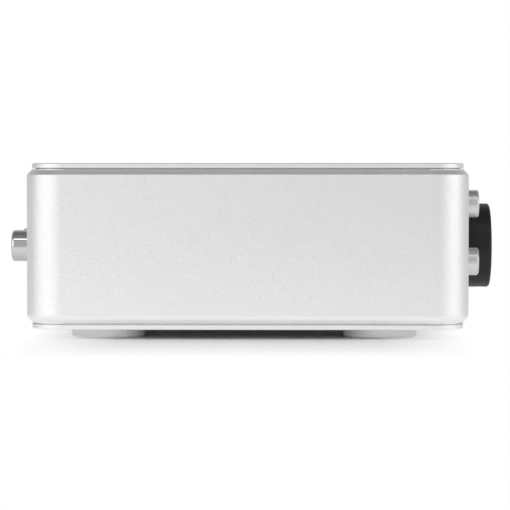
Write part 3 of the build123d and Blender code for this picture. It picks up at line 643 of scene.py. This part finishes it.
def make_finishes(settings):
    """Every material, named for what it is and how its surface was made."""
    case, controls, sockets = settings.case, settings.controls, settings.sockets
    return {
        # Even silver-grey with a soft sheen and a fine sparkle
        "case": blasted_aluminium("bead_blasted_anodised_aluminium", case.colour, case.grit),
        # Matt and slightly waxy
        "pad": moulded("moulded_silicone_rubber", case.pad_colour, 0.55, 0.3 * MM, 0.02 * MM, 1.43, 0.03),
        # Cool grey metal, bright but a little cloudy
        "zinc": plated("zinc_plated_steel", linear("#B9BCC2"), 0.3, 0.4 * MM),
        # A clear mirror, a little greyer than silver
        "chrome": plated("chrome_plated_brass", sockets.chrome_colour, 0.07, 1.2 * MM),
        # Warm white metal with soft reflections
        "silver": plated("silver_plated_brass", linear("#E3E0D6"), 0.16, 0.5 * MM),
        # Yellow metal with fine rings that stretch its highlights
        "brass": turned_metal("turned_brass", linear("#C8A45C"), middle(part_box("knob"))),
        # Deep black with a broad dull sheen
        "knob": moulded("spark_textured_abs", controls.knob_colour, 0.45, 0.22 * MM, 0.02 * MM, 1.4),
        # Clean white, faintly glossy
        "white": moulded("moulded_white_acetal", linear("#ECECEA"), 0.4, 0.25 * MM, 0.01 * MM, 1.48, 0.02),
        # Black with a dry, slightly mottled skin
        "nylon": moulded("glass_filled_nylon", sockets.nylon_colour, 0.5, 0.25 * MM, 0.02 * MM, 1.53),
        # Flat dark grey, without gloss
        "ink": moulded("screen_printed_ink", controls.ink_colour, 0.6, 0.1 * MM, 0.005 * MM),
        # Glossy green with darker patches at random
        "board": moulded("solder_masked_fibreglass", linear("#1C5A36"), 0.3, 0.6 * MM, 0.01 * MM, 1.5, 0.25),
        # Dark grey metal with the lines of its sheets
        "laminations": striped("stacked_silicon_steel", "Y", 0.5 * MM, "#2E2E31", "#77787C", 0.8, 0.5),
        # Amber tape with the ribs of the wire under it
        "winding": striped("taped_copper_winding", "Z", 0.45 * MM, "#7C5A12", "#D9A93A", 0.0, 0.35),
        # Dark blue, with a smooth soft gloss
        "can": moulded("heat_shrunk_pvc_sleeve", linear("#16203A"), 0.35, 0.5 * MM, 0.01 * MM),
        # Glossy red with a slightly uneven face
        "film": moulded("epoxy_filled_box", linear("#A12A22"), 0.25, 0.8 * MM, 0.01 * MM),
        # Glossy blue with brown bands
        "resistor": striped("lacquered_metal_film", "Y", 1.3 * MM, "#5B3A1C", "#6FA6CF", 0.0, 0.3, -0.5),
        # Near-black and finely grained
        "epoxy": moulded("moulded_chip_epoxy", linear("#1B1B1D"), 0.45, 0.15 * MM, 0.02 * MM),
    }


# --- operators
class Step:
    """What every operator here shares."""

    bl_options = {"REGISTER", "UNDO"}


class DIBOX_OT_case(Step, bpy.types.Operator):
    """Builds the rounded aluminium tube with its corner posts and panel holes"""

    bl_idname = "di_box.case"
    bl_label = "Case tube"

    def execute(self, context):
        size = context.scene.di_box.case
        material = FINISHES["case"]
        low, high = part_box("case_tube")
        ease, wall, chamfer, radius = size.edge_break, size.wall, size.rim_chamfer, size.corner_radius
        # The lower chamfer rolls softly into the wall; every other edge is only broken
        rim = [
            (-wall, low.z, ease), (-chamfer, low.z, ease), (0, low.z + chamfer, 9 * ease),
            (0, high.z - chamfer, 2 * ease), (-chamfer, high.z, ease), (-wall, high.z, ease),
        ]
        tube = swept(eased(rim, closed=True), low, high, radius, material)
        # Corner posts: an arc sunk halfway into the wall outside, and a rounded corner inside
        centre_x, centre_y = Vector((high.x - radius, high.y - radius))
        reach_x, reach_y = Vector((high.x - wall - size.post_reach, high.y - wall - size.post_reach))
        sunk_x, sunk_y = high.x - wall / 2, high.y - wall / 2
        arc = [
            (centre_x + (radius - wall / 2) * math.cos(a), centre_y + (radius - wall / 2) * math.sin(a))
            for a in [math.radians(10 * k) for k in range(10)]
        ]
        inner = [
            (centre_x, sunk_y), (reach_x, sunk_y), (reach_x, reach_y, 4 * MM),
            (sunk_x, reach_y), (sunk_x, centre_y),
        ]
        outline = arc + [point[:2] for point in eased(inner, steps=8)[1:-1]]
        posts, short = [], 0.05 * MM
        for box in solids("top_plate_screws"):
            sx, sy = (math.copysign(1, c) for c in middle(box)[:2])
            corner = [(sx * x, sy * y) for x, y in outline]
            posts.append(prism(corner, low.z + short, high.z - short, "Z", material))
        tube = combined(tube, posts, "UNION")
        tube = combined(tube, self.holes(low, high, wall, material))
        piece("case_shell", tube, "case", "case", "case_tube")
        return {"FINISHED"}

    def holes(self, low, high, wall, material):
        """Cutters for the screws, the controls and the sockets, each with a broken edge."""
        tap, through = 1.53 * MM, wall + 0.4 * MM
        made = []
        # Tapped holes in both ends of the posts, with a drill's point at their bottom
        for node, level, way in (("bottom_plate_screws", low.z, 1), ("top_plate_screws", high.z, -1)):
            places = [spot(box, z=level) for box in solids(node)]
            made.append(turned(places, drill(tap, 0.3 * MM, 12 * MM, tap / 2), (0, 0, way), material, 24))
        for node, radius, spare, end in OPENINGS:
            place = spot(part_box(node), x=high.x if end > 0 else low.x)
            cutter = drill(radius + spare, 0.15 * MM, through)
            made.append(turned([place], cutter, (-end, 0, 0), material, 64))
        for box in solids("xlr_screws"):
            made.append(countersink([spot(box, x=high.x)], (-1, 0, 0), through, material))
        return made


class DIBOX_OT_covers(Step, bpy.types.Operator):
    """Builds the top and bottom cover plates with their eased edges and countersinks"""

    bl_idname = "di_box.covers"
    bl_label = "Cover plates"

    def execute(self, context):
        size = context.scene.di_box.case
        material = FINISHES["case"]
        tube_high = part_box("case_tube")[1]
        band = -9 * MM  # how far in the swept rim reaches before the flat middle
        # The raised seat starts a step in from the plate's edge: deeper above, for a darker gap
        for name, node, way, step, screws in (
            ("top_cover", "top_plate", -1, -1.2 * MM, ["top_plate_screws"]),
            ("bottom_cover", "bottom_plate", 1, -0.7 * MM, ["bottom_plate_screws", "standoff_screws"]),
        ):
            low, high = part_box(node)
            face, seat = (high.z, low.z) if way < 0 else (low.z, high.z)
            back = face + way * size.cover_thickness
            points = [
                (band, face, 0), (0, face, size.cover_edge), (0, back, size.cover_edge / 2),
                (step, back, 0), (step, seat, 0.1 * MM), (band, seat, 0),
            ]
            radius = size.corner_radius - (tube_high.x - high.x)
            plate = swept(eased(points, steps=6), low, high, radius, material, closed=False)
            places = [spot(box, z=face) for box in solids(*screws)]
            plate = combined(plate, [countersink(places, (0, 0, way), 3 * MM, material)])
            piece(name, plate, "case", "case", node)
        return {"FINISHED"}


class DIBOX_OT_screws(Step, bpy.types.Operator):
    """Builds the countersunk screws of the covers and the XLR output, each turned its own way"""

    bl_idname = "di_box.screws"
    bl_label = "Countersunk screws"

    def execute(self, context):
        for seed, name, node, way in (
            (3, "top_cover_screws", "top_plate_screws", (0, 0, -1)),
            (4, "bottom_cover_screws", "bottom_plate_screws", (0, 0, 1)),
            (5, "standoff_cover_screws", "standoff_screws", (0, 0, 1)),
            (6, "xlr_panel_screws", "xlr_screws", (-1, 0, 0)),
        ):
            boxes, way = solids(node), Vector(way)
            reach = abs((boxes[0][1] - boxes[0][0]).dot(way))
            places = [middle(box) - way * reach / 2 for box in boxes]
            mesh = turned(
                places, socket_screw(reach), way, FINISHES["zinc"], 24, random_turn=math.pi / 3, seed=seed
            )
            piece(name, mesh, "case", "steel", node)
        return {"FINISHED"}


class DIBOX_OT_pads(Step, bpy.types.Operator):
    """Builds the four round rubber pads"""

    bl_idname = "di_box.pads"
    bl_label = "Pads"

    def execute(self, context):
        nodes = sorted(name for name in frame["nodes"] if name.startswith("foot_"))
        boxes = [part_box(name) for name in nodes]
        radius = (boxes[0][1].x - boxes[0][0].x) / 2
        top, hollow = boxes[0][1].z, 0.35 * MM
        points = [
            (0, top, 0), (radius - 0.15 * MM, top, 0.25 * MM), (radius, 0.65 * MM, 0.2 * MM),
            (radius - 0.55 * MM, 0, 0.15 * MM), (radius - 3 * MM, 0, 0.4 * MM),
            (radius - 3.6 * MM, hollow, 0.3 * MM), (0, hollow, 0),
        ]
        places = [spot(box, z=0) for box in boxes]
        mesh = turned(places, eased(points, steps=5), (0, 0, 1), FINISHES["pad"], 96)
        piece("pads", mesh, "case", "foot", *nodes)
        return {"FINISHED"}


class DIBOX_OT_knob(Step, bpy.types.Operator):
    """Builds the level knob with its domed face, pointer slot and set-screw hole"""

    bl_idname = "di_box.knob"
    bl_label = "Level knob"

    def execute(self, context):
        material = FINISHES["knob"]
        low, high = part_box("knob")
        axis = middle((low, high))
        radius, length = round_size((low, high))
        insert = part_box("knob_insert")
        insert_radius = round_size(insert)[0]
        seat, floor = insert[0].x - low.x, insert[1].x - low.x
        hollow, dome, rings = 11.0 * MM, 0.3 * MM, 8
        # The domed face, in rings from its rounded rim inwards
        shares = [1 - k / rings for k in range(rings)]
        face = [(radius * s, length - dome * s**2, 0.9 * MM if s == 1 else 0) for s in shares]
        points = [
            (0, floor, 0), (insert_radius, floor, 0), (insert_radius, seat, 0.15 * MM),
            (hollow, seat, 0.5 * MM), (hollow, 0, 0.2 * MM), (radius, 0, 0.35 * MM), *face, (0, length, 0),
        ]
        form = turned([spot((low, high), x=low.x)], eased(points, steps=6), (1, 0, 0), material, 128)
        # Slot for the pointer inlay, with round ends
        slot_low, slot_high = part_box("knob_pointer")
        half = (slot_high.y - slot_low.y) / 2
        outline = [
            (axis.y + half * math.cos(a), level + half * math.sin(a))
            for level, start in ((slot_high.z - half, 0), (slot_low.z + half, math.pi))
            for a in [start + math.pi * k / 8 for k in range(9)]
        ]
        slot = prism(outline, slot_low.x, high.x + OUT, "X", material)
        # Hole for the set screw, from below
        grub_low, grub_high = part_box("knob_set_screw")
        bore = (grub_high.x - grub_low.x) / 2 + 0.03 * MM
        cutter = drill(bore, 0.25 * MM, radius - 4.0 * MM, sunk=0.02 * MM)
        place = ((grub_low.x + grub_high.x) / 2, axis.y, low.z)
        hole = turned([place], cutter, (0, 0, 1), material, 32)
        piece("level_knob_cap", combined(form, [slot, hole]), "level_knob", "knob", "knob")
        return {"FINISHED"}


class DIBOX_OT_scale(Step, bpy.types.Operator):
    """Prints a plain scale of marks and numbers round the level knob"""

    bl_idname = "di_box.scale"
    bl_label = "Printed scale"

    def execute(self, context):
        size = context.scene.di_box.controls
        material = FINISHES["ink"]
        axis = middle(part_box("knob"))
        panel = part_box("case_tube")[1].x
        film, long, wide = 0.03 * MM, 1.7 * MM, 0.3 * MM
        turn = next(joint for joint in frame["joints"] if joint["name"] == "level_turn")
        sweep = math.radians(turn["range_deg"][1] - turn["range_deg"][0])
        mark = prism(rectangle(-wide / 2, -long / 2, wide / 2, long / 2), 0, film, "X", material)
        marks = grown(
            mark, TREES["scale"],
            count=size.scale_marks, radius=size.scale_radius + long / 2, sweep=sweep, material=material,
        )
        marks.transform(Matrix.Translation((panel, axis.y, axis.z)))
        printed = [marks]
        # Text lies in X and Y, and the panel in Y and Z
        facing = Matrix(((0, 0, 1), (1, 0, 0), (0, 1, 0))).to_4x4()
        reach = size.scale_radius + long + 0.95 * size.number_height
        for number in range(size.scale_marks):
            angle = sweep * (number / (size.scale_marks - 1) - 0.5)
            text = bpy.data.curves.new("number", "FONT")
            text.body, text.size = str(number), size.number_height * FIGURE
            text.align_x = text.align_y = "CENTER"
            text.extrude, text.resolution_u = film / 2, 4
            mesh = settled(in_scene("number", text))
            place = (panel + film / 2, axis.y + reach * math.sin(angle), axis.z + reach * math.cos(angle))
            mesh.transform(Matrix.Translation(place) @ facing)
            mesh.materials.clear()
            mesh.materials.append(material)
            printed.append(mesh)
        piece("level_scale", joined(printed), "case", "pointer")
        return {"FINISHED"}


class DIBOX_OT_buttons(Step, bpy.types.Operator):
    """Builds the two turned aluminium push buttons"""

    bl_idname = "di_box.buttons"
    bl_label = "Push buttons"

    def execute(self, context):
        colour = context.scene.di_box.controls.button_colour
        rim = 0.5 * MM
        for name in ("pad", "ground"):
            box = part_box(f"{name}_button")
            radius, length = round_size(box)
            material = turned_metal(f"satin_turned_aluminium_{name}", colour, middle(box), 0.36, 0.16 * MM)
            # A chamfered rim round a shallow dish
            points = [
                (0, 0, 0), (radius, 0, 0.25 * MM), (radius, length - rim, 0.2 * MM),
                (radius - rim, length, 0.2 * MM), (radius - rim - 0.3 * MM, length, 0.1 * MM),
                (radius - rim - 0.5 * MM, length - 0.12 * MM, 0.2 * MM), (0, length - 0.2 * MM, 0),
            ]
            form = turned([spot(box, x=box[0].x)], eased(points, steps=5), (1, 0, 0), material, 96)
            low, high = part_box(f"{name}_plunger")
            recess = prism(rectangle(low.y, low.z, high.y, high.z), box[0].x - OUT, high.x, "X", material)
            form = combined(form, [recess])
            piece(f"{name}_push_button", form, f"{name}_switch", "button", f"{name}_button")
        return {"FINISHED"}


class DIBOX_OT_jacks(Step, bpy.types.Operator):
    """Builds the chrome barrels of the two jack sockets and finishes what is behind them"""

    bl_idname = "di_box.jacks"
    bl_label = "Jack barrels"

    def execute(self, context):
        nodes = ["input_jack_ferrule", "thru_jack_ferrule"]
        boxes = [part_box(name) for name in nodes]
        radius, length = round_size(boxes[0])
        bore, seat, lip, foot = 3.25 * MM, 4.43 * MM, 1.2 * MM, radius - 0.2 * MM
        points = [
            (seat, 0, 0.1 * MM), (foot, 0, 0.1 * MM), (foot, 0.35 * MM, 0.1 * MM),
            (radius, 0.5 * MM, 0.15 * MM), (radius, length, 0.9 * MM), (bore, length, 0.3 * MM),
            (bore, length - lip, 0.05 * MM), (seat, length - lip, 0.05 * MM),
        ]
        places = [spot(box, x=box[1].x) for box in boxes]
        profile = eased(points, steps=7, closed=True)
        mesh = turned(places, profile, (-1, 0, 0), FINISHES["chrome"], 96, closed=True)
        piece("jack_barrels", mesh, "case", "chrome", *nodes)
        paint(FINISHES["nylon"], "input_jack_body", "thru_jack_body")
        paint(FINISHES["brass"], "input_jack_contacts", "thru_jack_contacts")
        return {"FINISHED"}


class DIBOX_OT_xlr(Step, bpy.types.Operator):
    """Finishes the XLR output and builds its contact pins"""

    bl_idname = "di_box.xlr"
    bl_label = "XLR output"

    def execute(self, context):
        paint(FINISHES["nylon"], "xlr_housing", "xlr_insert")
        boxes = solids("xlr_pins")
        radius, length = round_size(boxes[0])
        points = [(0, 0, 0), (radius, 0, 0.1 * MM), (radius, length, 0.9 * MM), (0, length, 0)]
        places = [spot(box, x=box[0].x) for box in boxes]
        mesh = turned(places, eased(points, steps=6), (1, 0, 0), FINISHES["silver"], 40)
        piece("xlr_contact_pins", mesh, "case", "silver_plate", "xlr_pins")
        return {"FINISHED"}


class DIBOX_OT_inside(Step, bpy.types.Operator):
    """Finishes the boards, the transformer and the small parts inside the case"""

    bl_idname = "di_box.inside"
    bl_label = "Inside parts"

    def execute(self, context):
        for finish, nodes in {
            "zinc": "board_screws transformer_screws transformer_nuts pot_shaft pot_washer pot_nut "
                    "knob_set_screw transformer_strap",
            "brass": "connector_pins standoffs pot_bushing knob_insert",
            "nylon": "board_connector pot_body pot_wiper pad_switch_body ground_switch_body "
                     "transformer_bobbin",
            "white": "knob_pointer pad_plunger ground_plunger",
            "board": "main_board front_board",
            "laminations": "transformer_core",
            "winding": "transformer_winding",
            "can": "electrolytic_capacitors",
            "film": "film_capacitors",
            "resistor": "resistors",
            "epoxy": "amplifier_chips",
        }.items():
            paint(FINISHES[finish], *nodes.split())
        return {"FINISHED"}


class DIBOX_OT_stage(Step, bpy.types.Operator):
    """Sets the floor, the studio's walls and softboxes, and the camera"""

    bl_idname = "di_box.stage"
    bl_label = "Studio"

    def execute(self, context):
        size, scene = context.scene.di_box.stage, context.scene
        self.floor(size)
        self.walls(scene)
        for name, placing in SOFTBOXES.items():
            self.softbox(name, getattr(size, f"{name}_power"), *placing)
        near_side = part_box("case_tube")[0].y
        camera = in_scene("camera", bpy.data.cameras.new("camera"))
        camera.data.lens, camera.data.sensor_width = size.lens, 36
        camera.data.clip_start, camera.data.clip_end = 0.01, 20
        camera.location = (size.camera_aside, near_side - size.camera_distance, size.camera_height)
        target = Vector((CAMERA_TARGET[0], near_side, CAMERA_TARGET[1]))
        self.aim(camera, target - camera.location)
        scene.camera = camera
        scene.view_settings.view_transform = "Standard"
        return {"FINISHED"}

    def aim(self, thing, way):
        """Turns a lamp or the camera to look one way."""
        thing.rotation_mode = "QUATERNION"
        thing.rotation_quaternion = way.to_track_quat("-Z", "Y")

    def softbox(self, name, power, azimuth, elevation, distance, width, height, for_gloss):
        """A rectangular light that faces the object. Azimuth 0 is in front, at -Y, and 90 at +X."""
        a, e = math.radians(azimuth), math.radians(elevation)
        way = Vector((math.sin(a) * math.cos(e), -math.cos(a) * math.cos(e), math.sin(e)))
        light = bpy.data.lights.new(f"{name}_softbox", "AREA")
        light.shape, light.size, light.size_y, light.energy = "RECTANGLE", width, height, power
        lamp = in_scene(f"{name}_softbox", light)
        lamp.location = (cad_bounds[0] + cad_bounds[1]) / 2 + way * distance
        self.aim(lamp, -way)
        lamp.visible_glossy, lamp.visible_diffuse = for_gloss, not for_gloss

    def floor(self, size):
        """A white laminate floor that fades into a painted glow away from the object: a white emission that
        stands in for the lit floor, though it is no lamp.
        """
        form = bmesh.new()
        bmesh.ops.create_circle(form, cap_ends=True, segments=96, radius=6.0)
        made, add, shader, place = new_finish(
            "white_laminate", Base_Color=tuple(size.floor_colour), Roughness=0.35, IOR=1.45
        )
        fine = add("ShaderNodeTexNoise", {"Vector": place, "Scale": per_metre(2 * MM), "Detail": 3.0})
        textured(add, shader, fine, 0.1, 0.02 * MM)
        split = add("ShaderNodeSeparateXYZ", {"Vector": place}).outputs
        seen = add("ShaderNodeLightPath").outputs["Is Camera Ray"]
        kept = []
        # Where the laminate starts and ends to fade into the painted glow, from the middle: the metal sees
        # the glow close up, painted light over the floor's shade, and the camera a wider, softer edge
        for axis, start, for_metal, for_camera in (("X", 0.042, 0.070, 0.070), ("Y", 0.049, 0.056, 0.125)):
            away = add("ShaderNodeMath", {0: split[axis]}, operation="ABSOLUTE")
            end = add("ShaderNodeMix", {0: seen, 2: for_metal, 3: for_camera})
            values = {"Value": away, "From Min": start, "From Max": end, "To Min": 1.0, "To Max": 0.0}
            kept.append(add("ShaderNodeMapRange", values))
        share = add("ShaderNodeMath", {0: kept[0], 1: kept[1]}, operation="MULTIPLY")
        # Painted light in reflections: the glow in front is brightest next to the object, and the camera
        # sees plain white
        values = {"Value": split["Y"], "From Min": -0.22, "From Max": -0.14, "To Min": 0.75, "To Max": 1.15}
        front = add("ShaderNodeMapRange", values)
        values = {"Value": split["Y"], "From Min": -0.05, "From Max": 0.0, "To Min": front, "To Max": 0.8}
        level = add("ShaderNodeMapRange", values)
        strength = add("ShaderNodeMix", {0: seen, 2: level, 3: 1.0})
        # The painted glow: a white emission that stands in for light on the floor
        painted_glow = add("ShaderNodeEmission", {"Color": (1, 1, 1, 1), "Strength": strength})
        ending = next(node for node in made.node_tree.nodes if node.type == "OUTPUT_MATERIAL")
        add("ShaderNodeMixShader", {0: share, 1: painted_glow, 2: shader}, ending.inputs["Surface"])
        in_scene("studio_floor", mesh_of(form, "studio_floor", made))

    def walls(self, scene):
        """A room for the reflections: bright in front of the object, greyer beside and above it, and
        brighter again behind it. The camera sees plain white."""
        scene.world = bpy.data.worlds.new("studio")
        scene.world.use_nodes = True
        scene.world.node_tree.nodes.clear()
        add = partial(add_node, scene.world.node_tree)
        way = add("ShaderNodeTexCoord").outputs["Generated"]
        split = add("ShaderNodeSeparateXYZ", {"Vector": way}).outputs
        ahead, overhead, rear = (
            add(
                "ShaderNodeMapRange",
                {"Value": split[axis], "From Min": start, "From Max": end, "To Min": low, "To Max": high},
                interpolation_type="SMOOTHSTEP",
            )
            for axis, start, end, low, high in (
                ("Y", -0.6, 0.2, 0.67, 0.38), ("Z", 0.5, 0.8, 1.0, 0.58), ("Y", 0.3, 0.7, 0.0, 0.26)
            )
        )
        level = add("ShaderNodeMath", {0: ahead, 1: overhead}, operation="MULTIPLY")
        level = add("ShaderNodeMath", {0: level, 1: rear}, operation="ADD")
        room = add("ShaderNodeBackground", {"Color": (1, 1, 1, 1), "Strength": level})
        white = add("ShaderNodeBackground", {"Color": (1, 1, 1, 1), "Strength": 1.0})
        seen = add("ShaderNodeLightPath").outputs["Is Camera Ray"]
        blend = add("ShaderNodeMixShader", {0: seen, 1: room, 2: white})
        add("ShaderNodeOutputWorld", {"Surface": blend})


class DIBOX_PT_panel(bpy.types.Panel):
    """Lists the steps that dress the direct injection box"""

    bl_idname = "DIBOX_PT_panel"
    bl_label = "Direct Injection Box"
    bl_space_type = "VIEW_3D"
    bl_region_type = "UI"
    bl_category = "DI Box"

    def draw(self, context):
        settings = context.scene.di_box
        for group in (settings.case, settings.controls, settings.sockets, settings.stage):
            box = self.layout.box()
            for name in group.__annotations__:
                box.prop(group, name)
        for step in STEPS:
            self.layout.operator(step.bl_idname)


STEPS = (
    DIBOX_OT_case, DIBOX_OT_covers, DIBOX_OT_screws, DIBOX_OT_pads, DIBOX_OT_knob, DIBOX_OT_scale,
    DIBOX_OT_buttons, DIBOX_OT_jacks, DIBOX_OT_xlr, DIBOX_OT_inside, DIBOX_OT_stage,
)
GROUPS = (DIBOX_PG_case, DIBOX_PG_controls, DIBOX_PG_sockets, DIBOX_PG_stage, DIBOX_PG_settings)
CLASSES = (*GROUPS, *STEPS, DIBOX_PT_panel)


def register():
    for each in CLASSES:
        bpy.utils.register_class(each)
    bpy.types.Scene.di_box = PointerProperty(type=DIBOX_PG_settings)


def unregister():
    del bpy.types.Scene.di_box
    for each in reversed(CLASSES):
        bpy.utils.unregister_class(each)


def main():
    """Builds every piece and the studio."""
    register()
    TREES.update(sweep=sweep_tree(), lathe=lathe_tree(), scale=scale_tree())
    FINISHES.update(make_finishes(bpy.context.scene.di_box))
    for step in STEPS:
        package, name = step.bl_idname.split(".")
        getattr(getattr(bpy.ops, package), name)()


if __name__ == "__main__":
    main()
